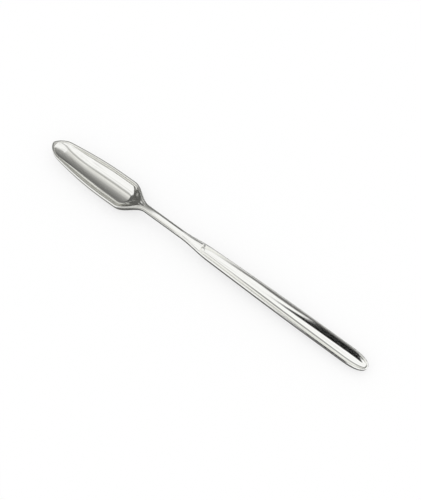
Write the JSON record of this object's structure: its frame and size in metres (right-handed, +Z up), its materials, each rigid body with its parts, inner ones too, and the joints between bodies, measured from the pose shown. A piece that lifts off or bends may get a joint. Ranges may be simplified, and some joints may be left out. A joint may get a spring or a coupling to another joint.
{
  "type": "marrow scoop",
  "caption": "Double-ended silver marrow scoop: a wide shallow bowl and a long narrow channelled scoop on one slim stem, for drawing marrow out of bones.",
  "frame": {"origin": "on the table under the middle of the tool's length, where it lies on the bowl's belly and on the narrow scoop's back", "axes": "+X from the bowl tip towards the narrow scoop's tip, +Y across the tool, +Z up out of both hollows"},
  "size_m": [0.225, 0.02, 0.0094],
  "materials": {
    "silver": "polished sterling silver with fine wear scratches",
    "solder": "hard silver solder, polished flush"
  },
  "bodies": {
    "root": {"wide_bowl": "silver", "bowl_solder": "solder", "stem": "silver", "scoop_solder": "solder", "narrow_scoop": "silver"}
  },
  "joints": []
}
